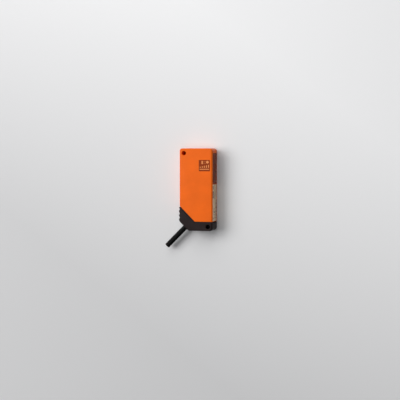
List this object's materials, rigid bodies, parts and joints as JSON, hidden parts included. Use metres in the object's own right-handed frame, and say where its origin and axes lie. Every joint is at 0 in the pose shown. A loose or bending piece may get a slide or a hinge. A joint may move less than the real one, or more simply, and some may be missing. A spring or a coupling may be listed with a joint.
{
  "type": "photoelectric sensor",
  "caption": "Flat rectangular photoelectric sensor with a window in its narrow side, an end cap with a corner cable outlet at 45 degrees, and diagonal mounting holes.",
  "frame": {"origin": "centre of the body's broad back face, on which the sensor is mounted", "axes": "+Z out of the broad front face, +Y along the body away from the cable, +X out of the narrow optical side with the window"},
  "size_m": [0.052, 0.1002, 0.018],
  "materials": {
    "housing_orange": "fine moulded texture, satin",
    "cap_black": "fine moulded texture, satin",
    "seal_rubber": "matt",
    "window_tinted": "clear, dark red-brown, polished",
    "label_foil": "satin printed foil",
    "cable_sheath": "smooth PVC, satin",
    "control_white": "moulded, satin",
    "control_blue": "moulded, satin",
    "clear_plastic": "polished, clear",
    "led_red": "clear tinted resin",
    "led_amber": "clear tinted resin",
    "board_laminate": "solder mask, satin",
    "component_black": "moulded resin, matt",
    "tinned_steel": "tinned, satin",
    "screw_steel": "zinc plated, bright",
    "crimp_brass": "turned, bright",
    "can_aluminium": "drawn, satin",
    "insulation_brown": "smooth PVC",
    "insulation_blue": "smooth PVC",
    "insulation_black": "smooth PVC"
  },
  "bodies": {
    "housing": {"housing_shell": "housing_orange", "end_cap": "cap_black", "cap_gasket": "seal_rubber", "front_window": "window_tinted", "window_seal": "seal_rubber", "type_label": "label_foil", "cable": "cable_sheath", "cable_tail": "cable_sheath", "cable_bushing": "seal_rubber", "cable_crimp": "crimp_brass", "wire_brown": "insulation_brown", "wire_blue": "insulation_blue", "wire_black": "insulation_black", "cap_screw_back": "screw_steel", "cap_screw_front": "screw_steel", "main_board": "board_laminate", "optics_board": "board_laminate", "board_header": "component_black", "optics_carrier": "component_black", "emitter_lens": "clear_plastic", "receiver_lens": "clear_plastic", "emitter_led": "led_red", "photodiode": "component_black", "shield_can": "tinned_steel", "controller_chip": "component_black", "output_transistor": "component_black", "buffer_capacitor": "can_aluminium", "voltage_regulator": "component_black", "protection_diode": "component_black", "trimmer_body": "control_blue", "selector_switch_body": "control_blue", "light_pipe": "clear_plastic", "status_led": "led_amber"},
    "adjuster": {"sensitivity_adjuster": "control_white", "adjuster_seal": "seal_rubber", "trimmer_rotor": "control_white"},
    "selector": {"mode_selector": "control_white", "selector_seal": "seal_rubber", "selector_switch_rotor": "control_white"}
  },
  "joints": [
    {"name": "sensitivity_turn", "type": "hinge", "parent": "housing", "child": "adjuster", "pos_m": [-0.0046, 0.0405, 0.009], "axis": [0, 1, 0], "range_deg": [-135, 135]},
    {"name": "mode_turn", "type": "hinge", "parent": "housing", "child": "selector", "pos_m": [0.0034, 0.0405, 0.009], "axis": [0, 1, 0], "range_deg": [0, 90]}
  ]
}
